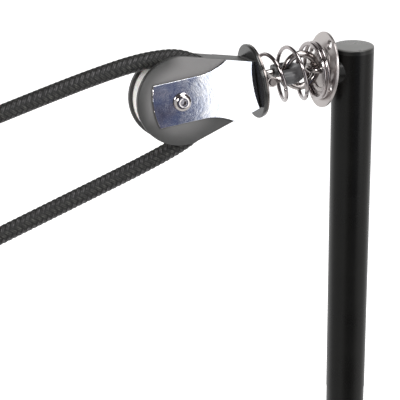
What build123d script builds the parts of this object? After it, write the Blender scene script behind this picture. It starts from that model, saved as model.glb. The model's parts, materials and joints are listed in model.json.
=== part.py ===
"""Shoulder pulley: a sprung swivel rope block on a round eye plate, bolted to a riser post.

Millimetres. +Z runs up the post, the origin is the centre of the post's foot, and the block
stands off the post towards -X.
"""
import os
from math import acos, atan, atan2, cos, degrees, hypot, pi, radians, sin, tan

from build123d import *

os.makedirs("parts", exist_ok=True)

# ---- driving dimensions ----------------------------------------------------------------
POST_DIAMETER = 25.4
POST_WALL = 2.0
POST_HEIGHT = 300.0
PLATE_BELOW_TOP = 12.8        # plate centre below the top of the post
ROPE_DIAMETER = 10.0
WRAP_RADIUS = 22.8            # rope centreline round the sheave
SHEAVE_RADIUS = 24.0
CHEEK_RADIUS = 25.9
PLATE_RADIUS = 22.7
SEAT_RADIUS = 22.3

# ---- the line the block hangs on -------------------------------------------------------
PLATE_LEAN = 7.5              # the plate's face looks up by this many degrees
DROOP = 5.5                   # ring, shackle and block slope down from the plate
YAW = 1.8                     # shackle and block turn to the -Y side of the ring
TWIST = -7.0                  # the block turns in its swivel, near cheek upwards

# ---- fits ------------------------------------------------------------------------------
SLIP = 0.05                   # radial gap of a pin or shaft in its hole
CLEAR = 0.3                   # gap between faces that move past each other

post_radius = POST_DIAMETER / 2
spigot_radius = 12.5          # turned end of the post that stands in its socket
spigot_length = 65.0
post_bore = post_radius - POST_WALL
plate_height = POST_HEIGHT - PLATE_BELOW_TOP

# ---- eye plate, U-bolt and ring --------------------------------------------------------
plate_thickness = 1.8
plate_reach = 20.5            # post axis to the middle of the plate's outer face
bead_height = 1.2
bead_radius = 12.2
bead_half_width = 1.6
u_bolt_wire = 2.0             # radius
u_bolt_half_gap = 6.0         # post axis plane to each leg
u_bolt_reach = 28.3           # post axis to the middle of the U-bolt's crown
u_bolt_rise = 1.5             # above the plate centre
ring_radius = 10.0
ring_wire = 2.2               # radius
link_gap = 0.4                # between two hooked links

# ---- shackle and swivel ----------------------------------------------------------------
leg_offset = 7.2              # shackle leg to the middle plane
bow_wire = 2.2                # radius
sleeve_radius = 4.6
sleeve_leg = 5.0              # straight part of the sleeve beyond the crown
pin_distance = 11.9           # ring wire to shackle pin
ear_radius = 3.2
ear_thickness = 2 * bow_wire + 0.2
pin_radius = 1.5
swivel_reach = 57.3           # shackle pin to sheave axle
lug_half_width = leg_offset - ear_thickness / 2 - CLEAR
stem_radius = 3.9

# ---- block, measured from the sheave axle ----------------------------------------------
seat_start = 47.0             # near face of the seat disc
seat_thickness = 2.2
washer_thickness = 1.2
strap_thickness = 1.5
strap_edge = 0.3
cheek_inner = 7.5             # half the gap between the cheeks
cheek_outer = 11.0
cheek_edge = 0.5
strap_half_height = 12.7
head_half_height = 14.1
sheave_half_width = cheek_inner - CLEAR
groove_radius = ROPE_DIAMETER / 2 + CLEAR
axle_radius = 4.0
screw_head_radius = 5.35
ball_radius = 2.0
ball_track = 9.2
ball_count = 12
race_outer = 8.0

# ---- frames ----------------------------------------------------------------------------


def moved(frame, x=0.0, y=0.0, z=0.0):
    """The same axes with the origin at (x, y, z) of the frame."""
    origin = frame.from_local_coords((x, y, z))
    return Plane(origin=origin, x_dir=frame.x_dir, z_dir=frame.z_dir)


def turned(frame, direction, angle):
    """The frame turned about a direction through its own origin."""
    hinge = Axis((0, 0, 0), direction)
    x_dir = frame.x_dir.rotate(hinge, angle)
    return Plane(origin=frame.origin, x_dir=x_dir, z_dir=frame.z_dir.rotate(hinge, angle))


def across_y(frame, y=0.0):
    """Sketch plane facing -Y of the frame: sketch X is frame X and sketch Y is frame Z."""
    origin = frame.from_local_coords((0, y, 0))
    return Plane(origin=origin, x_dir=frame.x_dir, z_dir=-frame.y_dir)


def across_x(frame, x=0.0):
    """Sketch plane facing +X of the frame: sketch X is frame Y and sketch Y is frame Z."""
    origin = frame.from_local_coords((x, 0, 0))
    return Plane(origin=origin, x_dir=frame.y_dir, z_dir=frame.x_dir)


def axis_along(frame, direction):
    return Axis(frame.origin, direction)


def keep(piece, name):
    """Label a finished piece and write its file."""
    piece.label = name
    export_step(piece, f"parts/{name}.step")


plate_frame = Plane(
    origin=(-plate_reach, 0, plate_height),
    x_dir=(cos(radians(PLATE_LEAN)), 0, -sin(radians(PLATE_LEAN))),
    z_dir=(sin(radians(PLATE_LEAN)), 0, cos(radians(PLATE_LEAN))),
)
ring_frame = Plane(
    origin=(-u_bolt_reach, 0, plate_height + u_bolt_rise),
    x_dir=(cos(radians(DROOP)), 0, sin(radians(DROOP))),
    z_dir=(-sin(radians(DROOP)), 0, cos(radians(DROOP))),
)
hook_distance = u_bolt_wire + ring_wire + link_gap
ring_centre = hook_distance - ring_radius
ring_hook = ring_centre - ring_radius
shackle_frame = turned(moved(ring_frame, x=ring_hook), ring_frame.z_dir, YAW)
pin_frame = moved(shackle_frame, x=-pin_distance)
block_frame = turned(moved(pin_frame, x=-swivel_reach), pin_frame.x_dir, TWIST)
washer_face = seat_start + seat_thickness + washer_thickness

# ---- riser post ------------------------------------------------------------------------
cap_flange = 3.0
cap_plug = 4.0
cap_wall = 2.5
foot_plug_length = 25.0
foot_bore = 3.4
leg_height = plate_height + u_bolt_rise
leg_hole = u_bolt_wire + SLIP * 2

# holes along X for the two U-bolt legs, through the front wall of the post only
with BuildPart() as leg_bores:
    with BuildSketch(Plane.YZ):
        with Locations((-u_bolt_half_gap, leg_height), (u_bolt_half_gap, leg_height)):
            Circle(leg_hole)
    extrude(amount=-2 * POST_DIAMETER)

with BuildPart() as post_tube:
    with BuildSketch(Plane.XY):
        Circle(spigot_radius)
        Circle(post_bore, mode=Mode.SUBTRACT)
    extrude(amount=spigot_length)
    with BuildSketch(Plane.XY.offset(spigot_length)):
        Circle(post_radius)
        Circle(post_bore, mode=Mode.SUBTRACT)
    extrude(amount=POST_HEIGHT - cap_flange - spigot_length)
    add(leg_bores.part, mode=Mode.SUBTRACT)
keep(post_tube.part, "post_tube")

with BuildPart() as post_top_cap:
    with BuildSketch(Plane.XY.offset(POST_HEIGHT - cap_flange)):
        Circle(post_radius)
    extrude(amount=cap_flange)
    fillet(post_top_cap.edges().sort_by(Axis.Z)[-1], radius=1.0)
    with BuildSketch(Plane.XY.offset(POST_HEIGHT - cap_flange)):
        Circle(post_bore - SLIP)
        Circle(post_bore - cap_wall, mode=Mode.SUBTRACT)
    extrude(amount=-cap_plug)
keep(post_top_cap.part, "post_top_cap")

with BuildPart() as post_foot_plug:
    with BuildSketch(Plane.XY):
        Circle(post_bore - SLIP)
        Circle(foot_bore, mode=Mode.SUBTRACT)
    extrude(amount=foot_plug_length)
    chamfer(post_foot_plug.edges().filter_by(GeomType.CIRCLE).sort_by(Axis.Z)[0:2], length=0.8)
keep(post_foot_plug.part, "post_foot_plug")

# ---- plate, saddles and U-bolt ---------------------------------------------------------
plate_hole_radius = 2.4
plate_hole_place = 18.0
plate_hole_turn = 22.0
saddle_radius = 9.4
nut_seat = -4.5               # flat of the inner saddle, which the nuts bear on
inner_saddle_height = 6.0
nut_flat = 3.3
nut_height = 3.2
leg_past_nut = 1.5

with BuildPart() as eye_plate:
    with BuildSketch(across_x(plate_frame)):
        Circle(PLATE_RADIUS)
    extrude(amount=plate_thickness)
    fillet(eye_plate.edges().filter_by(GeomType.CIRCLE), radius=0.6)
    with BuildSketch(Plane(plate_frame.origin, x_dir=plate_frame.z_dir, z_dir=plate_frame.y_dir)):
        with Locations((bead_radius, 0)):
            Ellipse(bead_half_width, bead_height)
    revolve(axis=axis_along(plate_frame, plate_frame.x_dir))
    with BuildSketch(across_x(plate_frame, -0.01)):
        with PolarLocations(plate_hole_place, 4, start_angle=plate_hole_turn):
            Circle(plate_hole_radius)
    extrude(amount=plate_thickness + 1, mode=Mode.SUBTRACT)
    countersunk = eye_plate.edges().filter_by(GeomType.CIRCLE).filter_by(
        lambda edge: abs(edge.radius - plate_hole_radius) < 0.01
    )
    chamfer(countersunk.sort_by(axis_along(plate_frame, plate_frame.x_dir))[0:4], length=0.9)
    add(leg_bores.part, mode=Mode.SUBTRACT)
keep(eye_plate.part, "eye_plate")

with BuildPart() as front_saddle:
    with BuildSketch(across_x(plate_frame, plate_thickness)):
        Circle(saddle_radius)
    extrude(amount=plate_reach)
    with BuildSketch(Plane.XY.offset(plate_height - PLATE_RADIUS)):
        Circle(post_radius + SLIP)
        with Locations((PLATE_RADIUS, 0)):
            Rectangle(2 * PLATE_RADIUS, 2 * PLATE_RADIUS)
    extrude(amount=2 * PLATE_RADIUS, mode=Mode.SUBTRACT)
    add(leg_bores.part, mode=Mode.SUBTRACT)
keep(front_saddle.part, "front_saddle")

with BuildPart() as inner_saddle:
    with BuildSketch(Plane.XY.offset(leg_height - inner_saddle_height / 2)):
        Circle(post_bore - SLIP)
        with Locations((post_radius + nut_seat, 0)):
            Rectangle(2 * post_radius, 2 * post_radius, mode=Mode.SUBTRACT)
    extrude(amount=inner_saddle_height)
    add(leg_bores.part, mode=Mode.SUBTRACT)
keep(inner_saddle.part, "inner_saddle")

crown_middle = -u_bolt_reach + u_bolt_half_gap
leg_end = nut_seat + nut_height + leg_past_nut
with BuildPart() as u_bolt:
    with BuildLine(Plane.XY.offset(leg_height)) as u_bolt_path:
        near_leg = Line((leg_end, -u_bolt_half_gap), (crown_middle, -u_bolt_half_gap))
        crown = ThreePointArc(
            near_leg @ 1, (-u_bolt_reach, 0), (crown_middle, u_bolt_half_gap)
        )
        Line(crown @ 1, (leg_end, u_bolt_half_gap))
    with BuildSketch(Plane.YZ.offset(leg_end)):
        with Locations((-u_bolt_half_gap, leg_height)):
            Circle(u_bolt_wire)
    sweep(path=u_bolt_path.wires()[0])
keep(u_bolt.part, "u_bolt")

with BuildPart() as bolt_nuts:
    with BuildSketch(Plane.YZ.offset(nut_seat)):
        with Locations((-u_bolt_half_gap, leg_height), (u_bolt_half_gap, leg_height)):
            RegularPolygon(nut_flat, 6, major_radius=False)
            Circle(u_bolt_wire + SLIP, mode=Mode.SUBTRACT)
    extrude(amount=nut_height)
keep(bolt_nuts.part, "bolt_nuts")

# ---- ring ------------------------------------------------------------------------------
with BuildPart() as eye_ring:
    with BuildSketch(moved(ring_frame, x=ring_centre)):
        with Locations((ring_radius, 0)):
            Circle(ring_wire)
    revolve(axis=axis_along(moved(ring_frame, x=ring_centre), ring_frame.y_dir))
keep(eye_ring.part, "eye_ring")

# ---- shackle ---------------------------------------------------------------------------
def u_tube(radius, leg):
    """Round bar bent in a U about the ring's wire, its legs running towards the block."""
    with BuildPart() as bent:
        with BuildLine(shackle_frame) as path:
            first = Line((-leg, -leg_offset), (0, -leg_offset))
            bend = ThreePointArc(first @ 1, (leg_offset, 0), (0, leg_offset))
            Line(bend @ 1, (-leg, leg_offset))
        with BuildSketch(across_x(shackle_frame, -leg)):
            with Locations((-leg_offset, 0)):
                Circle(radius)
        sweep(path=path.wires()[0])
    return bent.part


with BuildPart() as shackle_bow:
    add(u_tube(bow_wire, pin_distance))
    for side in (-1, 1):
        with BuildSketch(across_y(pin_frame, side * leg_offset + ear_thickness / 2)):
            Circle(ear_radius)
        extrude(amount=ear_thickness)
    with BuildSketch(across_y(pin_frame, leg_offset * 2)):
        Circle(pin_radius + SLIP)
    extrude(amount=leg_offset * 4, mode=Mode.SUBTRACT)
keep(shackle_bow.part, "shackle_bow")

with BuildPart() as shackle_sleeve:
    add(u_tube(sleeve_radius, sleeve_leg))
    add(u_tube(bow_wire + SLIP, sleeve_leg), mode=Mode.SUBTRACT)
keep(shackle_sleeve.part, "shackle_sleeve")

pin_head = 0.9                # height
pin_head_radius = 2.3
shackle_nut_flat = 2.6
shackle_nut_height = 1.8
ear_face = leg_offset + ear_thickness / 2
with BuildPart() as shackle_pin:
    with BuildSketch(across_y(pin_frame, ear_face + shackle_nut_height)):
        Circle(pin_radius)
    extrude(amount=2 * ear_face + shackle_nut_height)
    with BuildSketch(across_y(pin_frame, -ear_face)):
        Circle(pin_head_radius)
    extrude(amount=pin_head)
    fillet(shackle_pin.edges().sort_by(axis_along(pin_frame, pin_frame.y_dir))[0], radius=0.5)
keep(shackle_pin.part, "shackle_pin")

with BuildPart() as shackle_nut:
    with BuildSketch(across_y(pin_frame, ear_face + shackle_nut_height)):
        RegularPolygon(shackle_nut_flat, 6, major_radius=False)
        Circle(pin_radius + SLIP, mode=Mode.SUBTRACT)
    extrude(amount=shackle_nut_height)
keep(shackle_nut.part, "shackle_nut")

# ---- swivel ----------------------------------------------------------------------------
washer_gap = swivel_reach - washer_face
lug_base = 1.0                # thickness of the lug's foot against the washer
lug_waist = 2.8               # half height of the lug at the shackle pin
lug_foot_half = 6.6           # half height of its foot
lug_eye_radius = 3.2
stem_tip = 40.5               # from the axle
nut_near = 41.2
nut_far = 45.2
nut_radius = 5.6
with BuildPart() as swivel_lug:
    with BuildSketch(across_y(pin_frame, lug_half_width)):
        Circle(lug_eye_radius)
        with BuildLine():
            lug_foot = SLIP - washer_gap
            Polyline(
                (0, lug_waist),
                (lug_foot, lug_foot_half),
                (lug_foot, -lug_foot_half),
                (0, -lug_waist),
                close=True,
            )
        make_face()
    extrude(amount=2 * lug_half_width)
    with BuildSketch(across_y(pin_frame, lug_half_width)):
        Circle(pin_radius + SLIP)
    extrude(amount=2 * lug_half_width, mode=Mode.SUBTRACT)
    with BuildSketch(across_x(block_frame, stem_tip)):
        Circle(stem_radius)
    extrude(amount=washer_face + SLIP + lug_base - stem_tip)
keep(swivel_lug.part, "swivel_lug")

with BuildPart() as swivel_nut:
    with BuildSketch(across_x(block_frame, nut_near)):
        Circle(nut_radius)
        Circle(stem_radius + SLIP, mode=Mode.SUBTRACT)
    extrude(amount=nut_far - nut_near)
    chamfer(swivel_nut.edges().sort_by(axis_along(block_frame, block_frame.x_dir))[0:2], length=0.4)
keep(swivel_nut.part, "swivel_nut")

# ---- cheeks and head block -------------------------------------------------------------
tail_end = seat_start - strap_thickness
tail_angle = atan2(head_half_height, tail_end)
flank_angle = tail_angle + acos(CHEEK_RADIUS / hypot(tail_end, head_half_height))
rope_clear = WRAP_RADIUS + ROPE_DIAMETER / 2 + 2 * CLEAR
nut_bore = nut_radius + CLEAR


def flank(x):
    """Half height of the cheek's straight flank at x."""
    return (CHEEK_RADIUS - x * cos(flank_angle)) / sin(flank_angle)


# round end about the axle, with straight flanks to the tail
with BuildSketch() as teardrop:
    with BuildLine():
        CenterArc((0, 0), CHEEK_RADIUS, 0, 360)
        Line((tail_end, -head_half_height), (tail_end, head_half_height))
    make_hull()


def local_x(shape):
    return block_frame.to_local_coords(shape.center()).X


def local_y(shape):
    return block_frame.to_local_coords(shape.center()).Y


def cheek(side):
    """Side plate of the block, its outer edge rounded; side is -1 near or 1 far."""
    with BuildPart() as plate:
        with BuildSketch(across_y(block_frame, cheek_outer if side > 0 else -cheek_inner)):
            add(teardrop.sketch)
            Circle(axle_radius + SLIP, mode=Mode.SUBTRACT)
        extrude(amount=cheek_outer - cheek_inner)
        outer_face = plate.faces().sort_by(lambda face: side * local_y(face))[-1]
        rim = outer_face.outer_wire().edges().sort_by(local_x)[:-1]
        fillet(rim, radius=cheek_edge)
    return plate.part


keep(cheek(-1), "near_cheek")
keep(cheek(1), "far_cheek")

with BuildPart() as head_block:
    with BuildSketch(across_y(block_frame, cheek_inner)):
        add(teardrop.sketch)
        Circle(rope_clear, mode=Mode.SUBTRACT)
        with Locations((-SHEAVE_RADIUS, 0)):
            Rectangle(2 * SHEAVE_RADIUS, 4 * SHEAVE_RADIUS, mode=Mode.SUBTRACT)
    extrude(amount=2 * cheek_inner)
    with BuildSketch(across_x(block_frame, stem_tip - 1)):
        Circle(nut_bore)
    extrude(amount=tail_end - stem_tip + 2, mode=Mode.SUBTRACT)
keep(head_block.part, "head_block")

# ---- strap, seat disc and washer -------------------------------------------------------
strap_outer = cheek_outer + strap_thickness
strap_left = -17.2
strap_corner = -15.2
flare_start = 11.0
flare_end = 29.8


# one leg: bowed end, waist, and a flare that meets the cheek's flank
with BuildSketch() as strap_leg:
    with BuildLine():
        bow = TangentArc(
            (strap_left, 0), (strap_corner, strap_half_height), tangent=(0, 1)
        )
        waist = Line(bow @ 1, (flare_start, strap_half_height))
        flare = TangentArc(waist @ 1, (flare_end, flank(flare_end)), tangent=(1, 0))
        edge = Line(flare @ 1, (seat_start, flank(seat_start)))
        Line(edge @ 1, (seat_start, 0))
        mirror(about=Plane.XZ)
    make_face()


with BuildPart() as strap:
    for leg_face in (-cheek_outer, strap_outer):
        with BuildSketch(across_y(block_frame, leg_face)):
            add(strap_leg.sketch)
            Circle(axle_radius + SLIP, mode=Mode.SUBTRACT)
        extrude(amount=strap_thickness)
    with BuildSketch(across_x(block_frame, tail_end)):
        Rectangle(2 * strap_outer, 2 * flank(seat_start))
    extrude(amount=strap_thickness)
    bends = strap.edges().filter_by(
        lambda edge: local_x(edge) > seat_start - 0.01 and abs(local_y(edge)) > strap_outer - 0.01
    )
    fillet(bends, radius=1.2)
    for side in (-1, 1):
        leg_face = strap.faces().sort_by(lambda face: side * local_y(face))[-1]
        outline = leg_face.outer_wire().edges().filter_by(lambda edge: local_x(edge) < flare_end)
        fillet(outline, radius=strap_edge)
    with BuildSketch(across_x(block_frame, tail_end - 1)):
        Circle(stem_radius + SLIP)
    extrude(amount=strap_thickness + 2, mode=Mode.SUBTRACT)
keep(strap.part, "strap")

with BuildPart() as seat_disc:
    with BuildSketch(across_x(block_frame, seat_start)):
        Circle(SEAT_RADIUS)
        Circle(stem_radius + SLIP, mode=Mode.SUBTRACT)
    extrude(amount=seat_thickness)
    rims = seat_disc.edges().filter_by(GeomType.CIRCLE).filter_by(
        lambda edge: edge.radius > SEAT_RADIUS - 0.01
    )
    fillet(rims, radius=0.8)
keep(seat_disc.part, "seat_disc")

with BuildPart() as seat_washer:
    with BuildSketch(across_x(block_frame, seat_start + seat_thickness)):
        Circle(SEAT_RADIUS - 0.5)
        Circle(stem_radius + SLIP, mode=Mode.SUBTRACT)
    extrude(amount=washer_thickness)
    chamfer(seat_washer.edges().filter_by(GeomType.CIRCLE).sort_by(local_x)[-2:], length=0.3)
keep(seat_washer.part, "seat_washer")

# ---- axle and bearing ------------------------------------------------------------------
screw_radius = 2.5
screw_length = 9.0
screw_head = 3.3
screw_brim = 0.7
screw_flat = 2.1
socket_flat = 1.5
socket_depth = 1.8
track_gap = 0.08
race_bore = axle_radius + SLIP
outer_bore = 10.4
retainer_outer = 12.0
retainer_seat = 3.2
retainer_thickness = 1.5
axle_axis = axis_along(block_frame, block_frame.y_dir)
middle_plane = Plane(origin=block_frame.origin, x_dir=block_frame.x_dir, z_dir=block_frame.y_dir)

with BuildPart() as axle_sleeve:
    with BuildSketch(across_y(block_frame, strap_outer)):
        Circle(axle_radius)
        Circle(screw_radius + SLIP, mode=Mode.SUBTRACT)
    extrude(amount=2 * strap_outer)
keep(axle_sleeve.part, "axle_sleeve")

with BuildPart() as axle_screws:
    with BuildSketch(block_frame):
        with BuildLine():
            seat = Line((0, -strap_outer), (screw_head_radius, -strap_outer))
            brim = Line(seat @ 1, (screw_head_radius, -strap_outer - screw_brim))
            dome = TangentArc(
                brim @ 1, (screw_flat, -strap_outer - screw_head), tangent=(0, -1)
            )
            flat = Line(dome @ 1, (0, -strap_outer - screw_head))
            Line(flat @ 1, seat @ 0)
        make_face()
    revolve(axis=axle_axis)
    with BuildSketch(across_y(block_frame, screw_length - strap_outer)):
        Circle(screw_radius)
    extrude(amount=screw_length)
    with BuildSketch(across_y(block_frame, socket_depth - strap_outer - screw_head)):
        RegularPolygon(socket_flat, 6, major_radius=False)
    extrude(amount=socket_depth + 1, mode=Mode.SUBTRACT)
    mirror(about=middle_plane)
keep(axle_screws.part, "axle_screws")


# six-sided track round the axle, which the balls touch along its slopes
with BuildPart() as track:
    with BuildSketch(block_frame):
        with Locations((ball_track, 0)):
            RegularPolygon(ball_radius + track_gap, 6, major_radius=False, rotation=30)
    revolve(axis=axle_axis)

with BuildPart() as inner_race:
    with BuildSketch(across_y(block_frame, cheek_inner)):
        Circle(race_outer)
        Circle(race_bore, mode=Mode.SUBTRACT)
    extrude(amount=2 * cheek_inner)
    add(track.part, mode=Mode.SUBTRACT)
keep(inner_race.part, "inner_race")

with BuildPart() as bearing_balls:
    with Locations(across_y(block_frame)):
        with PolarLocations(ball_track, ball_count):
            Sphere(ball_radius)
keep(bearing_balls.part, "bearing_balls")

with BuildPart() as sheave:
    with BuildSketch(block_frame):
        with BuildLine():
            lip = (SHEAVE_RADIUS, groove_radius + CLEAR)
            groove = CenterArc((WRAP_RADIUS, 0), groove_radius, 90, 180)
            Line(lip, groove @ 0)
            Polyline(
                lip,
                (SHEAVE_RADIUS, sheave_half_width),
                (retainer_outer, sheave_half_width),
                (retainer_outer, retainer_seat),
                (outer_bore, retainer_seat),
                (outer_bore, -retainer_seat),
                (retainer_outer, -retainer_seat),
                (retainer_outer, -sheave_half_width),
                (SHEAVE_RADIUS, -sheave_half_width),
                (SHEAVE_RADIUS, -lip[1]),
                groove @ 1,
            )
        make_face()
    revolve(axis=axle_axis)
    add(track.part, mode=Mode.SUBTRACT)
keep(sheave.part, "sheave")

with BuildPart() as ball_retainers:
    with BuildSketch(across_y(block_frame, -retainer_seat - SLIP)):
        Circle(retainer_outer - SLIP)
        Circle(race_outer + CLEAR, mode=Mode.SUBTRACT)
    extrude(amount=retainer_thickness)
    mirror(about=middle_plane)
keep(ball_retainers.part, "ball_retainers")

# ---- rope and its end fittings ---------------------------------------------------------
# Points of the route in the block's middle plane, from the upper end, over the sheave and
# round behind it, to the lower end: (along the block, up), measured from the axle.
ROPE_ROUTE = [
    (-118.0, 10.7),
    (-82.0, 17.0),
    (-44.0, 23.0),
    (-14.8, 26.0),
    (9.3, 23.4),
    (22.7, 9.5),
    (22.7, -9.5),
    (10.0, -22.7),
    (-14.0, -31.6),
    (-132.0, -59.5),
]
RUN_SHARE = 0.45              # of the shorter run, taken by the arc at a corner
ferrule_outer = 6.6
ferrule_bore = 5.2
ferrule_grip = 12.0
ferrule_floor = 2.5
eye_neck = 3.0
eye_ring_radius = 6.2
eye_ring_wire = 2.0


def corner_radius(before, corner, after):
    """The largest arc at a corner that leaves its runs room for their other ends."""
    arriving = Vector(*corner) - Vector(*before)
    leaving = Vector(*after) - Vector(*corner)
    half_turn = radians(arriving.get_angle(leaving)) / 2
    return RUN_SHARE * min(arriving.length, leaving.length) / tan(half_turn)


rope_radii = [
    corner_radius(*ROPE_ROUTE[index - 1 : index + 2]) for index in range(1, len(ROPE_ROUTE) - 1)
]
with BuildPart() as rope:
    with BuildLine(across_y(block_frame)) as rope_path:
        FilletPolyline(*ROPE_ROUTE, radius=rope_radii)
    rope_line = rope_path.wires()[0]
    with BuildSketch(Plane(origin=rope_line @ 0, z_dir=rope_line % 0)):
        Circle(ROPE_DIAMETER / 2)
    sweep(path=rope_line)
keep(rope.part, "rope")
rope_section = pi * ROPE_DIAMETER**2 / 4
print("rope radii", [round(radius, 1) for radius in rope_radii])
print("rope length", round(rope_line.length, 1))
print("rope volume / section x length", round(rope.part.volume / rope_section / rope_line.length, 5))


def rope_end(tip, before):
    """Frame at an end of the rope: X points out along it, Z across the block."""
    origin = block_frame.from_local_coords((tip[0], 0, tip[1]))
    inner = block_frame.from_local_coords((before[0], 0, before[1]))
    return Plane(origin=origin, x_dir=origin - inner, z_dir=block_frame.y_dir)


def ferrule(end):
    """Cup swaged over the rope's end."""
    with BuildPart() as cup:
        with BuildSketch(end):
            with BuildLine():
                Polyline(
                    (ferrule_floor, 0),
                    (0, 0),
                    (0, ferrule_bore),
                    (-ferrule_grip, ferrule_bore),
                    (-ferrule_grip, ferrule_outer - 0.5),
                    (-ferrule_grip + 1, ferrule_outer),
                    (ferrule_floor - 1.5, ferrule_outer),
                    (ferrule_floor, ferrule_outer - 1.5),
                    close=True,
                )
            make_face()
        revolve(axis=Axis(end.origin, end.x_dir))
    return cup.part


def end_eye(end):
    """Ring on a short neck, standing on the ferrule's closed face."""
    eye_centre = ferrule_floor + eye_ring_radius + eye_ring_wire + 0.8
    with BuildPart() as eye:
        with BuildSketch(across_y(moved(end, x=eye_centre))):
            with Locations((eye_ring_radius, 0)):
                Circle(eye_ring_wire)
        revolve(axis=Axis(end.from_local_coords((eye_centre, 0, 0)), -end.z_dir))
        with BuildSketch(across_x(end, ferrule_floor)):
            Circle(eye_neck)
        extrude(amount=eye_ring_wire + 0.8)
    return eye.part


upper_end = rope_end(ROPE_ROUTE[0], ROPE_ROUTE[1])
lower_end = rope_end(ROPE_ROUTE[-1], ROPE_ROUTE[-2])
keep(ferrule(upper_end), "upper_rope_ferrule")
keep(ferrule(lower_end), "lower_rope_ferrule")
keep(end_eye(upper_end), "upper_rope_eye")
keep(end_eye(lower_end), "lower_rope_eye")

# ---- stand-up spring -------------------------------------------------------------------
spring_wire = 1.2             # radius
spring_plate_radius = 16.8    # coil at the plate
spring_seat_radius = 14.3     # coil at the washer
spring_turns = 3
spring_lift = 4.6             # first point, from the middle of the plate's face
spring_stop = 2.2             # last point, short of the washer

spring_seat = block_frame.from_local_coords((washer_face, 0, 0))
spring_axis = spring_seat - plate_frame.origin
spring_height = spring_axis.length - spring_stop - spring_lift
spring_cone = degrees(atan((spring_seat_radius - spring_plate_radius) / spring_height))
with BuildPart() as stand_up_spring:
    with BuildLine() as coil:
        Helix(
            pitch=spring_height / spring_turns,
            height=spring_height,
            radius=spring_plate_radius,
            center=plate_frame.origin + spring_axis.normalized() * spring_lift,
            direction=spring_axis,
            cone_angle=spring_cone,
        )
    with BuildSketch(Plane(origin=coil.line @ 0, z_dir=coil.line % 0)):
        Circle(spring_wire)
    sweep(path=coil.line, is_frenet=True)
keep(stand_up_spring.part, "stand_up_spring")
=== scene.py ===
"""Looks of the shoulder pulley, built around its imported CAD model. Metres, in the CAD's frame."""
import json
import math

import bmesh
import bpy
from mathutils import Matrix, Vector


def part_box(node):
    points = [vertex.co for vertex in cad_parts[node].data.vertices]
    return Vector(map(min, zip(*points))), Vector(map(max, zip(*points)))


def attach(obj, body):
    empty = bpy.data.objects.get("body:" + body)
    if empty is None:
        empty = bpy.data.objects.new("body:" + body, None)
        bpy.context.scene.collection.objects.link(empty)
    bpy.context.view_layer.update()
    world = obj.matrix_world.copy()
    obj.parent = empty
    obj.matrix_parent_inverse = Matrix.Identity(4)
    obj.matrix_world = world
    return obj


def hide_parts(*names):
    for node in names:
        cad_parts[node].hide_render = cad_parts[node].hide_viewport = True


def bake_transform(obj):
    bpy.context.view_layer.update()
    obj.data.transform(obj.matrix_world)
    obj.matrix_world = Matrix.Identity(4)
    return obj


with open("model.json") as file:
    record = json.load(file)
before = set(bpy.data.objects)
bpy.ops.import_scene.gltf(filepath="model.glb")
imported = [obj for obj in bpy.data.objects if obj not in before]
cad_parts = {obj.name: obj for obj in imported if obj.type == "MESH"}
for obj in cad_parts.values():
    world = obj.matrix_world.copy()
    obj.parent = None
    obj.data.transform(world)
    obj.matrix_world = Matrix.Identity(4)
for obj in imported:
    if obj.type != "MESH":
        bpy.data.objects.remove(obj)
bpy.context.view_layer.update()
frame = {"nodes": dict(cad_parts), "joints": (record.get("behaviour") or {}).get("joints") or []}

MM = 0.001
nodes = frame["nodes"]
joints = {joint["name"]: joint for joint in frame["joints"]}


# ---- frames of the moving parts, from the CAD's joints --------------------------------
def joint_place(name):
    return Vector(joints[name]["pos_m"])


def joint_axis(name):
    return Vector(joints[name]["axis"]).normalized()


def axes_matrix(origin, x_axis, y_axis):
    """Matrix of a frame with these two axes; the third is worked out."""
    z_axis = x_axis.cross(y_axis).normalized()
    matrix = Matrix((x_axis, y_axis, z_axis)).transposed().to_4x4()
    matrix.translation = origin
    return matrix


axle = joint_place("head_swivel")
along = joint_axis("head_swivel")
across = joint_axis("sheave_spin")
up = along.cross(across)
block_frame = axes_matrix(axle, along, across)


def link(name, data):
    piece = bpy.data.objects.new(name, data)
    bpy.context.scene.collection.objects.link(piece)
    return piece


# ---- camera ------------------------------------------------------------------------------
CAMERA_PLACE = (-0.308784, -0.696966, 0.51797)
CAMERA_RIGHT = (0.95438, -0.29775, -0.02256)
CAMERA_UP = (0.13481, 0.36224, 0.92229)
CAMERA_LENS = 117.0           # millimetres
CAMERA_SENSOR = 36.0          # millimetres
CAMERA_CLIP = 0.01

camera_data = bpy.data.cameras.new("camera")
camera_data.lens = CAMERA_LENS
camera_data.sensor_width = CAMERA_SENSOR
camera_data.clip_start = CAMERA_CLIP
camera = link("camera", camera_data)
camera.matrix_world = axes_matrix(
    Vector(CAMERA_PLACE), Vector(CAMERA_RIGHT).normalized(), Vector(CAMERA_UP).normalized()
)
bpy.context.scene.camera = camera


# ---- meshes ------------------------------------------------------------------------------
def arc_lengths(points):
    lengths = [0.0]
    for before, after in zip(points, points[1:]):
        lengths.append(lengths[-1] + (after - before).length)
    return lengths


def evenly_spaced(points, spacing):
    """Points along the same line, one every spacing."""
    lengths = arc_lengths(points)
    count = max(2, round(lengths[-1] / spacing))
    spaced = []
    span = 0
    for index in range(count + 1):
        target = lengths[-1] * index / count
        while span < len(points) - 2 and lengths[span + 1] < target:
            span += 1
        share = (target - lengths[span]) / (lengths[span + 1] - lengths[span])
        spaced.append(points[span].lerp(points[span + 1], share))
    return spaced


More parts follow.
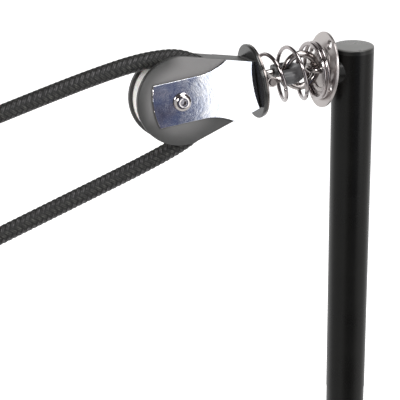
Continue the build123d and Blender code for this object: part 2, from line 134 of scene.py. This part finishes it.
def tube_mesh(name, points, sides, radius_at, reference):
    """Closed tube along points. radius_at(turn, length) gives its radius, with turn from 0 to 1
    round the section, starting from the reference direction, and length from the first point.
    Its UVs are turn and length."""
    lengths = arc_lengths(points)
    mesh = bmesh.new()
    uv = mesh.loops.layers.uv.new("UVMap")
    rings = []
    normal = reference.copy()
    for index, point in enumerate(points):
        ahead = points[min(index + 1, len(points) - 1)]
        behind = points[max(index - 1, 0)]
        tangent = (ahead - behind).normalized()
        normal = (normal - tangent * normal.dot(tangent)).normalized()
        side = tangent.cross(normal)
        ring = []
        for step in range(sides):
            turn = step / sides
            angle = 2 * math.pi * turn
            radius = radius_at(turn, lengths[index])
            direction = normal * math.cos(angle) + side * math.sin(angle)
            ring.append(mesh.verts.new(point + direction * radius))
        rings.append(ring)
    for index in range(len(rings) - 1):
        for step in range(sides):
            beside = (step + 1) % sides
            face = mesh.faces.new((
                rings[index][step], rings[index][beside],
                rings[index + 1][beside], rings[index + 1][step],
            ))
            face.smooth = True
            corners = ((step, index), (step + 1, index), (step + 1, index + 1), (step, index + 1))
            for loop, (place, ring_index) in zip(face.loops, corners):
                loop[uv].uv = (place / sides, lengths[ring_index])
    for ring, flip in ((rings[0], True), (rings[-1], False)):
        mesh.faces.new(ring[::-1] if flip else ring)
    data = bpy.data.meshes.new(name)
    mesh.to_mesh(data)
    mesh.free()
    return data


# ---- rope --------------------------------------------------------------------------------
# The route in the block's middle plane, millimetres from the axle: (along the block, up),
# from the upper end round the sheave to the lower end.
ROPE_ROUTE = [
    (-118.0, 10.7),
    (-82.0, 17.0),
    (-44.0, 23.0),
    (-14.8, 26.0),
    (9.3, 23.4),
    (22.7, 9.5),
    (22.7, -9.5),
    (10.0, -22.7),
    (-14.0, -31.6),
    (-72.4, -45.4),
    (-132.0, -59.5),
]
STRANDS = 8                   # each way round
STRAND_ADVANCE = 0.0032       # along the rope, from one strand to the next
BRAID_PHASE = 0.05            # turns round the rope to the first strand
BRAID_CORE = 0.00434          # radius under the strands
STRAND_CROWN = 0.00042        # how far a strand's middle stands above its edges
STRAND_ROUNDING = 1.9         # how much of a half circle its face takes up, from 0 to 2
STRAND_LIFT = 0.00034         # how far it rises over the other family, and sinks under it
YARNS = 2                     # side by side in a strand
SPLINE_STEPS = 48             # from one control point to the next
ROPE_SPACING = 0.00045        # between the mesh's rings
ROPE_SIDES = 80


def in_block(x, z):
    """Point of the block's middle plane, at millimetres along and up from its axle."""
    return axle + (along * x + up * z) * MM


def spline_line(name, controls):
    """Points along an open NURBS spline with these control points."""
    data = bpy.data.curves.new(name, "CURVE")
    data.dimensions = "3D"
    spline = data.splines.new("NURBS")
    spline.points.add(len(controls) - 1)
    for place, control in zip(spline.points, controls):
        place.co = (*control, 1.0)
    spline.order_u = 3
    spline.use_endpoint_u = True
    spline.resolution_u = SPLINE_STEPS
    curve = link(name, data)
    bpy.context.view_layer.update()
    sampled = bpy.data.meshes.new_from_object(curve)
    points = [vertex.co.copy() for vertex in sampled.vertices]
    bpy.data.meshes.remove(sampled)
    bpy.data.objects.remove(curve)
    bpy.data.curves.remove(data)
    return points


def crown(place):
    """Height of a strand's rounded face, from 0 to 1, where the place counts strands."""
    return math.sqrt(1 - (STRAND_ROUNDING * (place % 1 - 0.5)) ** 2)


def braid_radius(turn, length):
    """Radius of the twill braid: each strand passes over two of the other family, then under
    two."""
    first = STRANDS * (turn - BRAID_PHASE) + length / STRAND_ADVANCE
    second = STRANDS * (turn - BRAID_PHASE) - length / STRAND_ADVANCE
    first_lift = math.sin(0.5 * math.pi * (second + math.floor(first)))
    second_lift = -math.sin(0.5 * math.pi * (first + math.floor(second)))
    first_height = crown(first) * STRAND_CROWN + first_lift * STRAND_LIFT
    second_height = crown(second) * STRAND_CROWN + second_lift * STRAND_LIFT
    return BRAID_CORE + max(first_height, second_height)


rope_points = evenly_spaced(
    spline_line("rope_line", [in_block(x, z) for x, z in ROPE_ROUTE]), ROPE_SPACING
)
rope_mesh = tube_mesh("rope_braid", rope_points, ROPE_SIDES, braid_radius, across)
rope_braid = link("rope_braid", rope_mesh)
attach(rope_braid, "block")
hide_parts("rope")


# ---- stand-up spring ---------------------------------------------------------------------
# Wire line from the washer to the plate: (turns, millimetres from the plate, coil radius)
SPRING_KNOTS = [
    (-0.7, 40.6, 13.2),
    (0.0, 40.0, 13.5),
    (0.25, 38.0, 13.9),
    (0.5, 33.9, 14.5),
    (1.0, 25.0, 14.7),
    (1.5, 19.8, 16.5),
    (2.0, 12.8, 15.6),
    (2.5, 5.9, 16.8),
    (3.0, 4.4, 16.8),
    (3.5, 2.9, 16.8),
    (4.2, 1.5, 16.6),
]
SPRING_WIRE = 1.2             # millimetres, the wire's radius
SPRING_STEPS = 48             # to a turn
SPRING_SIDES = 14
PLATE_FACE = -20.5            # millimetres from the post's middle to the plate's face
PLATE_HEIGHT = 287.2          # millimetres from the floor to the plate's middle
WASHER_FACE = 50.4            # millimetres from the axle to the washer's face
plate_middle = Vector((PLATE_FACE * MM, 0, PLATE_HEIGHT * MM))
washer_middle = in_block(WASHER_FACE, 0)
spring_axis = (plate_middle - washer_middle).normalized()
spring_far = (Vector((0, 1, 0)) - spring_axis * spring_axis.y).normalized()
spring_up = spring_axis.cross(spring_far)


def smooth_value(knots, column, place):
    """Value at a place between knots, on a smooth curve through them."""
    index = max(i for i in range(len(knots) - 1) if knots[i][0] <= place)
    low, high = knots[index], knots[index + 1]
    width = high[0] - low[0]

    def slope(i):
        before, after = knots[max(i - 1, 0)], knots[min(i + 1, len(knots) - 1)]
        return (after[column] - before[column]) / (after[0] - before[0])

    share = (place - low[0]) / width
    rising = share**3 - 2 * share**2 + share
    falling = share**3 - share**2
    blend = 3 * share**2 - 2 * share**3
    return (
        low[column] * (1 - blend) + high[column] * blend
        + width * (slope(index) * rising + slope(index + 1) * falling)
    )


def spring_point(turns):
    distance = smooth_value(SPRING_KNOTS, 1, turns)
    radius = smooth_value(SPRING_KNOTS, 2, turns)
    angle = 2 * math.pi * turns
    return plate_middle - spring_axis * distance * MM + (
        spring_far * math.sin(angle) - spring_up * math.cos(angle)
    ) * radius * MM


first_turn, last_turn = SPRING_KNOTS[0][0], SPRING_KNOTS[-1][0]
spring_count = round((last_turn - first_turn) * SPRING_STEPS)
spring_points = [
    spring_point(first_turn + (last_turn - first_turn) * i / spring_count)
    for i in range(spring_count + 1)
]


def distance_from_plate(point):
    return (plate_middle - point).dot(spring_axis)


def halfway(first, second):
    """Distance from the plate to halfway between two joints."""
    places = distance_from_plate(joint_place(first)), distance_from_plate(joint_place(second))
    return 0.5 * sum(places)


# The wire is cut between the joints, into three lengths.
RING_CUT = halfway("ring_swing", "shackle_swing")
TILT_CUT = halfway("shackle_swing", "block_tilt")
# Each length names a body at each of its ends, and where it would follow it wholly: CUT_MARGIN past
# the cut, and for the first and last coils the washer and the plate. Nothing below reads these.
# These distances are from the plate.
CUT_MARGIN = 0.0015
FIRST_COIL = 0.0365
LAST_COILS = 0.0060


def cut_index(distance):
    return next(i for i, point in enumerate(spring_points) if distance_from_plate(point) < distance)


def wire_radius(turn, length):
    return SPRING_WIRE * MM


tilt_index, ring_index = cut_index(TILT_CUT), cut_index(RING_CUT)
spring_lengths = [
    ("spring_block_end", spring_points[: tilt_index + 1], "shackle", "swivel",
     TILT_CUT + CUT_MARGIN, FIRST_COIL),
    ("spring_middle", spring_points[tilt_index : ring_index + 1], "ring", "shackle",
     RING_CUT + CUT_MARGIN, TILT_CUT - CUT_MARGIN),
    ("spring_plate_end", spring_points[ring_index:], "post", "ring",
     LAST_COILS, RING_CUT - CUT_MARGIN),
]
spring_pieces = []
for name, points, near_body, far_body, near_distance, far_distance in spring_lengths:
    piece = link(name, tube_mesh(name, points, SPRING_SIDES, wire_radius, spring_axis))
    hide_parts("stand_up_spring")
    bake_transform(piece)
    spring_pieces.append(piece)


# ---- materials ---------------------------------------------------------------------------
CHEEK_FACE = 0.0110           # middle plane to the cheek's outer face
CHEEK_RIM = 0.0259            # the cheek's outer radius
# Painted shade darkens the cheek's round end and lower half from these radii.
END_PAINTED_SHADE = 0.015             # radius from which the cheek's round end darkens
LOWER_PAINTED_SHADE = 0.008           # radius from which its lower half darkens
DOME_START = 0.0185           # radius from which the cheek's face falls away
DOME_CURVE = 45.0             # depth of that fall, to the square of the distance beyond it
STRAP_FACE = 0.0125           # middle plane to the strap's outer face
TOOL_RINGS = 14000.0          # radians of the sheave's tool rings to a metre
NOISE_LOW, NOISE_HIGH = 0.3, 0.7  # a noise's usual range


class Nodes:
    """Texture nodes that feed a material or the studio's light."""

    def __init__(self, tree):
        self.tree = tree

    def add(self, kind, inputs=(), **properties):
        """A node with its inputs set, each to a value or to another node's output."""
        node = self.tree.nodes.new("ShaderNode" + kind)
        for key, value in properties.items():
            setattr(node, key, value)
        for socket, value in dict(inputs).items():
            if isinstance(value, bpy.types.NodeSocket):
                self.tree.links.new(value, node.inputs[socket])
            else:
                node.inputs[socket].default_value = value
        return node

    def noise(self, vector, scale, detail=3.0, roughness=0.5):
        inputs = {"Vector": vector, "Scale": scale, "Detail": detail, "Roughness": roughness}
        return self.add("TexNoise", inputs).outputs["Fac"]

    def spread(self, value, low, high, from_low=NOISE_LOW, from_high=NOISE_HIGH):
        """The value mapped from its usual range to the range low to high."""
        inputs = {"Value": value, "From Min": from_low, "From Max": from_high,
                  "To Min": low, "To Max": high}
        return self.add("MapRange", inputs).outputs["Result"]

    def math(self, operation, *values):
        return self.add("Math", dict(enumerate(values)), operation=operation).outputs[0]

    def ramp(self, value, *stops):
        """Colour by value: stops are (place, (r, g, b))."""
        node = self.add("ValToRGB", {"Fac": value})
        elements = node.color_ramp.elements
        while len(elements) < len(stops):
            elements.new(0.5)
        for element, (place, colour) in zip(elements, stops):
            element.position = place
            element.color = (*colour, 1.0)
        return node.outputs["Color"]

    def shades(self, value, dark, light):
        """Colour from dark to light over a noise's usual range."""
        return self.ramp(value, (NOISE_LOW, dark), (NOISE_HIGH, light))

    def mix(self, factor, first, second):
        """The first colour where the factor is 0, the second where it is 1."""
        node = self.add("Mix", data_type="RGBA")
        for socket, value in (("Factor_Float", factor), ("A_Color", first), ("B_Color", second)):
            target = next(s for s in node.inputs if s.identifier == socket)
            if isinstance(value, bpy.types.NodeSocket):
                self.tree.links.new(value, target)
            else:
                target.default_value = (*value, 1.0)
        return next(s for s in node.outputs if s.identifier == "Result_Color")

    def choose(self, factor, first, second):
        """The first number where the factor is 0, the second where it is 1."""
        node = self.add("Mix", data_type="FLOAT")
        for index, value in ((0, factor), (2, first), (3, second)):
            self.tree.links.new(value, node.inputs[index])
        return node.outputs[0]

    def axes(self, vector):
        """The vector's X, Y and Z."""
        parts = self.add("SeparateXYZ", {"Vector": vector}).outputs
        return parts["X"], parts["Y"], parts["Z"]

    def step(self, value, low, high):
        """Smooth rise from 0 to 1 as the value goes from low to high."""
        inputs = {"Value": value, "From Min": low, "From Max": high}
        return self.add("MapRange", inputs, interpolation_type="SMOOTHSTEP").outputs["Result"]

    def product(self, *values):
        result = values[0]
        for value in values[1:]:
            result = self.math("MULTIPLY", result, value)
        return result


class Paint(Nodes):
    """A Principled material fed by texture nodes."""

    def __init__(self, name, **settings):
        self.material = bpy.data.materials.new(name)
        self.material.use_nodes = True
        super().__init__(self.material.node_tree)
        self.shader = self.tree.nodes["Principled BSDF"]
        for socket, value in settings.items():
            self.shader.inputs[socket.replace("_", " ")].default_value = value

    def place(self, matrix=None, stretch=(1, 1, 1)):
        """Coordinates fixed to the part, in the frame of the matrix, stretched by axis."""
        here = self.add("TexCoord").outputs["Object"]
        if matrix is not None:
            turned = self.add("Mapping", {"Vector": here}, vector_type="TEXTURE")
            turned.inputs["Location"].default_value = matrix.translation
            turned.inputs["Rotation"].default_value = matrix.to_euler()
            here = turned.outputs["Vector"]
        return self.add("Mapping", {"Vector": here, "Scale": stretch}).outputs["Vector"]

    def from_axle(self, x, z):
        """Distance from the sheave's axle, in the block's frame."""
        squares = self.math("ADD", self.math("POWER", x, 2.0), self.math("POWER", z, 2.0))
        return self.math("SQRT", squares)

    def feed(self, socket, value):
        self.tree.links.new(value, self.shader.inputs[socket])

    def bump(self, *heights):
        """Surface relief from (height, strength, distance) triples, one over another."""
        normal = None
        for height, strength, distance in heights:
            inputs = {"Height": height, "Strength": strength, "Distance": distance}
            if normal is not None:
                inputs["Normal"] = normal
            normal = self.add("Bump", inputs).outputs["Normal"]
        self.feed("Normal", normal)

    def moulded_grain(self, here):
        """Relief of moulded plastic: fine spark-eroded grain over slight lumps."""
        return ((self.noise(here, 2600.0, 2.0), 0.18, 0.00012),
                (self.noise(here, 180.0, 2.0), 0.05, 0.0004))


def black_paint():
    """Semi-gloss powder coat with a fine orange peel."""
    paint = Paint("black_powder_coat", Specular_IOR_Level=0.25)
    here = paint.place()
    cloud = paint.noise(here, 35.0, 4.0)
    paint.feed("Base Color", paint.shades(cloud, (0.0030, 0.0030, 0.0027),
                                          (0.0048, 0.0048, 0.0043)))
    paint.feed("Roughness", paint.spread(cloud, 0.24, 0.32))
    peel = paint.noise(here, 900.0, 2.0)
    speck = paint.noise(here, 4200.0, 1.0)
    paint.bump((peel, 0.12, 0.0002), (speck, 0.08, 0.00005))
    return paint.material


def satin_plastic(name, dark, light, roughness):
    """Moulded plastic with slight cloudiness."""
    paint = Paint(name, IOR=1.47)
    here = paint.place()
    cloud = paint.noise(here, 60.0, 5.0)
    paint.feed("Base Color", paint.shades(cloud, dark, light))
    paint.feed("Roughness", paint.spread(cloud, roughness - 0.05, roughness + 0.07))
    paint.bump(*paint.moulded_grain(here))
    return paint.material


def cap_plastic():
    """Black moulding, its top face coloured grey as a painted reflection of the bright light above.
    """
    paint = Paint("cap_plastic", IOR=1.47)
    here = paint.place()
    cloud = paint.noise(here, 60.0, 5.0)
    # Painted reflection: the top face's grey stands in for the bright light it reflects.
    top_reflection_grey = paint.shades(cloud, (0.13, 0.13, 0.125), (0.16, 0.16, 0.152))
    black = paint.shades(cloud, (0.006, 0.006, 0.0055), (0.010, 0.010, 0.0093))
    height = paint.axes(here)[2]
    cap_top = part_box("post_top_cap")[1][2]
    top_face = paint.step(height, cap_top - 0.0010, cap_top - 0.0001)
    paint.feed("Base Color", paint.mix(top_face, black, top_reflection_grey))
    paint.feed("Roughness", paint.spread(cloud, 0.24, 0.36))
    paint.bump(*paint.moulded_grain(here))
    return paint.material


def cheek_plastic():
    """Grey face, with its sides and inner face darker as painted shade. Painted shade also darkens
    the face towards its round end and lower half, and the face falls away towards its round edge."""
    paint = Paint("grey_nylon", IOR=1.47)
    here = paint.place(block_frame)
    x, y, z = paint.axes(here)
    radius = paint.from_axle(x, z)
    cloud = paint.noise(here, 60.0, 5.0)
    flat = paint.shades(cloud, (0.190, 0.186, 0.184), (0.215, 0.211, 0.209))
    painted_shade_colour = paint.shades(cloud, (0.050, 0.050, 0.049), (0.062, 0.062, 0.061))
    # Painted shade: the sides and inner face take a darker colour than the face, for the shade that
    # falls on them beside the sheave.
    side = paint.shades(cloud, (0.038, 0.038, 0.036), (0.050, 0.050, 0.048))
    outer = paint.step(paint.math("ABSOLUTE", y), CHEEK_FACE - 0.0006, CHEEK_FACE - 0.0001)
    # Painted shade: the face darkens towards its round end and lower half.
    round_end = paint.step(x, 0.006, -0.006)
    lower_half = paint.step(z, 0.006, -0.012)
    painted_shade_end = paint.product(paint.step(radius, END_PAINTED_SHADE, CHEEK_RIM), round_end)
    painted_shade_below = paint.product(lower_half, paint.step(radius, LOWER_PAINTED_SHADE, CHEEK_RIM))
    dark = paint.math("MAXIMUM", painted_shade_end, painted_shade_below)
    paint.feed("Base Color", paint.mix(outer, side, paint.mix(dark, flat, painted_shade_colour)))
    paint.feed("Roughness", paint.spread(cloud, 0.42, 0.54))
    beyond = paint.math("MAXIMUM", paint.math("SUBTRACT", radius, DOME_START), 0.0)
    fall = paint.math("MULTIPLY", paint.product(beyond, beyond, round_end, outer), -DOME_CURVE)
    paint.bump((fall, 1.0, 1.0), *paint.moulded_grain(here))
    return paint.material


def gloss_black():
    """Polished black plastic with faint handling marks."""
    paint = Paint("gloss_black_plastic", IOR=1.56)
    here = paint.place(block_frame)
    cloud = paint.noise(here, 90.0, 4.0)
    paint.feed("Base Color", paint.shades(cloud, (0.014, 0.014, 0.0135), (0.022, 0.022, 0.021)))
    marks = paint.noise(paint.place(block_frame, (1, 14, 1)), 260.0, 2.0)
    paint.feed("Roughness", paint.spread(marks, 0.14, 0.26))
    paint.bump((marks, 0.05, 0.00008))
    return paint.material


def metal(name, dark, light, roughness, spread, marks, relief=0.06):
    """Steel with cloudy polish and fine marks, so many to a metre."""
    paint = Paint(name, Metallic=1.0)
    here = paint.place()
    cloud = paint.noise(here, 70.0, 4.0)
    fine = paint.noise(here, marks, 3.0, 0.6)
    both = paint.math("MULTIPLY_ADD", fine, 0.5, paint.math("MULTIPLY", cloud, 0.5))
    paint.feed("Base Color", paint.ramp(both, (0.35, dark), (0.65, light)))
    paint.feed("Roughness", paint.spread(both, roughness - spread, roughness + spread))
    paint.bump((fine, relief, 0.00004), (cloud, relief, 0.0002))
    return paint.material


def mirror_steel():
    """Buffed strap: clouded polish with a bluish tint in its colour that is a painted reflection,
    turning brownish towards its free ends, buffing marks round the axle, and edges left rougher
    from the shear and coloured dark as painted shade, except along the top."""
    paint = Paint("strap_steel", Metallic=1.0)
    here = paint.place(block_frame)
    x, y, z = paint.axes(here)
    cloud = paint.noise(here, 130.0, 4.0, 0.6)
    patch = paint.noise(here, 45.0, 3.0)
    # Close together outwards from the axle and long round it: to a metre, a radian and a metre.
    round_axle = {
        "X": paint.math("MULTIPLY", paint.from_axle(x, z), 900.0),
        "Y": paint.math("MULTIPLY", paint.math("ARCTAN2", z, x), 5.0),
        "Z": paint.math("MULTIPLY", y, 200.0),
    }
    swirl = paint.noise(paint.add("CombineXYZ", round_axle).outputs[0], 1.0, 3.0, 0.6)
    tone = paint.math("MULTIPLY_ADD", swirl, 0.4, paint.math("MULTIPLY", cloud, 0.6))
    # Painted reflection: the bluish tint stands in for a bluish wall reflected in the strap; the
    # clouding in it is the polish's own.
    bluish_reflection_tone = paint.ramp(tone, (0.38, (0.62, 0.67, 0.81)), (0.5, (0.82, 0.85, 0.92)),
                      (0.62, (1.0, 1.0, 1.0)))
    warm = paint.ramp(tone, (0.38, (0.70, 0.63, 0.62)), (0.62, (0.95, 0.90, 0.88)))
    free_end = paint.math("MULTIPLY_ADD", x, -12.0, patch)
    polish = paint.mix(paint.step(free_end, 0.56, 0.72), bluish_reflection_tone, warm)
    depth = paint.math("ABSOLUTE", y)
    top_edge = paint.product(paint.step(z, 0.004, 0.010),
                             paint.step(depth, STRAP_FACE - 0.0003, STRAP_FACE - 0.0001))
    face = paint.step(depth, STRAP_FACE - 0.00007, STRAP_FACE - 0.00001)
    buffed_unshaded = paint.math("MAXIMUM", top_edge, face)
    dull_shaded_edge = paint.math("SUBTRACT", 1.0, buffed_unshaded)
    # Painted shade: the strap's cut edges, all but the top one, are coloured dark for the shadowed
    # gap beside the cheek; they are also rougher.
    paint.feed("Base Color", paint.mix(buffed_unshaded, (0.16, 0.15, 0.15), polish))
    paint.feed("Roughness",
               paint.math("MULTIPLY_ADD", dull_shaded_edge, 0.25, paint.spread(tone, 0.035, 0.075)))
    paint.bump((cloud, 0.07, 0.00012), (swirl, 0.12, 0.00006))
    return paint.material


def ivory_acetal():
    """Turned acetal sheave: faint tool rings about the axle."""
    paint = Paint("ivory_acetal", IOR=1.48, Subsurface_Weight=0.08, Subsurface_Scale=0.002)
    here = paint.place(block_frame)
    x, _, z = paint.axes(here)
    rings = paint.math("SINE", paint.math("MULTIPLY", paint.from_axle(x, z), TOOL_RINGS))
    cloud = paint.noise(here, 120.0, 4.0)
    paint.feed("Base Color", paint.shades(cloud, (0.90, 0.885, 0.845), (0.95, 0.94, 0.91)))
    paint.feed("Roughness", paint.spread(cloud, 0.3, 0.42))
    paint.bump((rings, 0.05, 0.00003), (cloud, 0.05, 0.0002))
    return paint.material


def braid():
    """Braided cover: yarns in each strand, with a painted highlight where they stand proud and
    painted shade between, one family of strands coloured lit and the other shaded as painted light.
    Its strands lie where braid_radius has them."""
    paint = Paint("braided_cover", Roughness=0.62, Sheen_Weight=0.12, Sheen_Roughness=0.4)
    around, length_along, _ = paint.axes(paint.add("TexCoord").outputs["UV"])
    turn = paint.math("MULTIPLY_ADD", around, float(STRANDS), -STRANDS * BRAID_PHASE)
    length = paint.math("DIVIDE", length_along, STRAND_ADVANCE)
    first = paint.math("ADD", turn, length)
    second = paint.math("SUBTRACT", turn, length)
    cell = paint.add("CombineXYZ", {"X": first, "Y": second}).outputs[0]

    def lift(strand, other):
        """The weave's wave along a strand, from -1 to 1, as long as four strands across it."""
        place = paint.math("ADD", paint.math("FLOOR", strand), other)
        return paint.math("SINE", paint.math("MULTIPLY", place, 0.5 * math.pi))

    def ridges(strand, count):
        """Rounded ridges side by side, so many across a strand."""
        angle = paint.math("MULTIPLY", strand, count * math.pi)
        return paint.math("ABSOLUTE", paint.math("SINE", angle))

    def speckle(scale, detail):
        """Noise with so many spots to a strand."""
        place = paint.add("Mapping", {"Vector": cell, "Scale": (scale, scale, 1)}).outputs[0]
        return paint.noise(place, 1.0, detail)

    first_lift = lift(first, second)
    over = paint.math("GREATER_THAN", first_lift, 0.0)
    height = paint.math("ABSOLUTE", paint.choose(over, lift(second, first), first_lift))
    side = paint.choose(over, ridges(second, 1), ridges(first, 1))
    proud = paint.math("MULTIPLY", side, paint.math("POWER", height, 0.35))
    yarn = paint.choose(over, ridges(second, YARNS), ridges(first, YARNS))
    sheen_patches = speckle(1.3, 3.0)
    fibre = speckle(9, 4.0)
    # Painted highlight on the proud yarns, with painted shade in the creases between them; its
    # patches vary at random.
    painted_sheen = paint.product(proud, paint.spread(sheen_patches, 0.35, 1.0), paint.spread(fibre, 0.35, 1.0),
                          paint.spread(yarn, 0.25, 1.0, 0.0, 1.0))
    # Painted light: the first family of strands takes the lit colours and the second the shaded
    # ones, for a highlight that catches one direction of strand.
    lit = paint.ramp(painted_sheen, (0.12, (0.004, 0.004, 0.0036)), (0.28, (0.034, 0.033, 0.033)),
                     (0.65, (0.19, 0.183, 0.190)))
    shaded = paint.ramp(painted_sheen, (0.12, (0.004, 0.004, 0.0036)), (0.28, (0.020, 0.020, 0.018)),
                        (0.65, (0.115, 0.116, 0.101)))
    paint.feed("Base Color", paint.mix(over, shaded, lit))
    paint.bump((yarn, 0.35, 0.00015), (fibre, 0.3, 0.00012))
    return paint.material


post_black = black_paint()
black_plastic = satin_plastic("black_plastic", (0.012, 0.012, 0.012), (0.02, 0.02, 0.019), 0.42)
grey_cap = cap_plastic()
head_plastic = satin_plastic("head_plastic", (0.030, 0.029, 0.028), (0.042, 0.041, 0.039), 0.45)
grey_nylon = cheek_plastic()
dark_sleeve = satin_plastic("dark_sleeve", (0.062, 0.062, 0.064), (0.090, 0.089, 0.092), 0.30)
black_gloss = gloss_black()
plate_steel = metal("satin_plate", (0.50, 0.465, 0.455), (0.62, 0.58, 0.565), 0.34, 0.05, 2400.0,
                    relief=0.25)
polished = metal("polished_steel", (0.60, 0.565, 0.555), (0.74, 0.705, 0.695), 0.12, 0.04, 500.0)
link_steel = metal("link_steel", (0.30, 0.270, 0.262), (0.50, 0.465, 0.450), 0.17, 0.06, 600.0)
strap_steel = mirror_steel()
spring_steel = metal("spring_wire", (0.36, 0.325, 0.325), (0.54, 0.50, 0.50), 0.15, 0.05, 900.0)
lug_steel = metal("lug_steel", (0.17, 0.150, 0.143), (0.27, 0.245, 0.235), 0.24, 0.06, 900.0)
plain_steel = metal("turned_steel", (0.42, 0.41, 0.41), (0.55, 0.54, 0.53), 0.28, 0.08, 1500.0)
acetal = ivory_acetal()
rope_cover = braid()

FINISHES = {
    post_black: ["post_tube", "front_saddle"],
    grey_cap: ["post_top_cap"],
    black_plastic: ["post_foot_plug", "inner_saddle"],
    plate_steel: ["eye_plate"],
    polished: ["axle_screws", "upper_rope_eye", "lower_rope_eye"],
    link_steel: ["u_bolt", "eye_ring", "shackle_bow"],
    lug_steel: ["swivel_lug", "seat_washer", "shackle_pin", "shackle_nut"],
    strap_steel: ["strap"],
    dark_sleeve: ["shackle_sleeve"],
    grey_nylon: ["near_cheek", "far_cheek"],
    head_plastic: ["head_block"],
    black_gloss: ["seat_disc"],
    acetal: ["sheave", "ball_retainers"],
    plain_steel: ["bolt_nuts", "swivel_nut", "axle_sleeve", "inner_race", "bearing_balls",
                  "upper_rope_ferrule", "lower_rope_ferrule"],
}


def finish_with(piece, material):
    piece.data.materials.clear()
    piece.data.materials.append(material)


for material, names in FINISHES.items():
    for name in names:
        finish_with(nodes[name], material)
for piece in spring_pieces:
    finish_with(piece, spring_steel)
finish_with(rope_braid, rope_cover)


# ---- floor and light ---------------------------------------------------------------------
FLOOR_REACH = 30.0            # from its middle to each edge
FLOOR_GLOW = 0.55             # emission of its front part
FLOOR_GLOW_RISE = 0.32        # how much more it has behind the object


def make_floor():
    """Pale floor that glows a little, more behind the object than in front of it."""
    signs = ((-1, -1), (1, -1), (1, 1), (-1, 1))
    corners = [(x * FLOOR_REACH, y * FLOOR_REACH, 0) for x, y in signs]
    data = bpy.data.meshes.new("floor")
    data.from_pydata(corners, [], [(0, 1, 2, 3)])
    floor = link("floor", data)
    paint = Paint("pale_floor", Roughness=0.9, Emission_Color=(1, 1, 1, 1))
    here = paint.place()
    behind = paint.step(paint.axes(here)[1], -0.8, 0.1)
    paint.feed("Emission Strength",
               paint.math("MULTIPLY_ADD", behind, FLOOR_GLOW_RISE, FLOOR_GLOW))
    cloud = paint.noise(here, 1.5, 2.0)
    paint.feed("Base Color", paint.shades(cloud, (0.90, 0.90, 0.90), (0.92, 0.92, 0.92)))
    finish_with(floor, paint.material)
    floor.visible_glossy = False


def make_studio():
    """Light from all round: a white backdrop behind, a pale floor below, grey at the left, and a
    dark room in front and above. In front stand a tall white screen, to the right, and a
    cluttered bluish wall beside it."""
    world = bpy.data.worlds.new("studio")
    world.use_nodes = True
    sky = Nodes(world.node_tree)
    outward = sky.add("TexCoord").outputs["Generated"]
    x, y, z = sky.axes(outward)
    behind = sky.product(sky.step(y, 0.0, 0.4), sky.step(z, 0.62, 0.40))
    below = sky.product(sky.step(z, 0.0, -0.25), sky.step(y, -0.86, -0.5))
    in_front = sky.product(
        sky.step(y, -0.55, -0.7), sky.step(z, -0.42, -0.3), sky.step(z, 0.42, 0.3)
    )
    aside = sky.product(sky.step(x, -0.62, -0.8), sky.step(z, 0.5, 0.3))
    wall = sky.product(in_front, sky.step(x, -0.25, -0.1))
    screen = sky.product(in_front, sky.step(x, 0.308, 0.324), sky.step(x, 0.85, 0.7))
    colour = sky.mix(below, (0.07, 0.062, 0.062), (0.80, 0.79, 0.78))
    colour = sky.mix(behind, colour, (1.0, 1.0, 1.0))
    colour = sky.mix(aside, colour, (0.6, 0.6, 0.6))
    clutter = sky.noise(outward, 120.0, 4.0, 0.6)
    wall_colour = sky.ramp(clutter, (0.40, (0.025, 0.030, 0.060)), (0.48, (0.075, 0.095, 0.180)),
                           (0.54, (0.130, 0.140, 0.200)), (0.62, (0.30, 0.31, 0.40)))
    colour = sky.mix(wall, colour, wall_colour)
    colour = sky.mix(screen, colour, (1.7, 1.7, 1.7))
    sky.tree.links.new(colour, sky.tree.nodes["Background"].inputs["Color"])
    bpy.context.scene.world = world


def soft_light(name, place, target, width, height, power):
    """White area light, its size in metres and its power in watts, turned to the target."""
    data = bpy.data.lights.new(name, "AREA")
    data.shape = "RECTANGLE"
    data.size = width
    data.size_y = height
    data.energy = power
    light = link(name, data)
    light.location = place
    light.rotation_mode = "QUATERNION"
    light.rotation_quaternion = (Vector(target) - Vector(place)).to_track_quat("-Z", "Y")


make_floor()
make_studio()
bpy.context.scene.view_settings.view_transform = "Standard"

soft_light("overhead", (0.2, -0.25, 1.45), (-0.05, 0.0, 0.25), 0.8, 0.5, 7.0)
soft_light("front_left", (-0.95, -1.0, 0.95), (-0.1, 0, 0.27), 0.35, 0.45, 7.5)
soft_light("front_high", (0.5, -1.0, 1.1), (-0.05, 0, 0.27), 0.5, 0.4, 6.0)
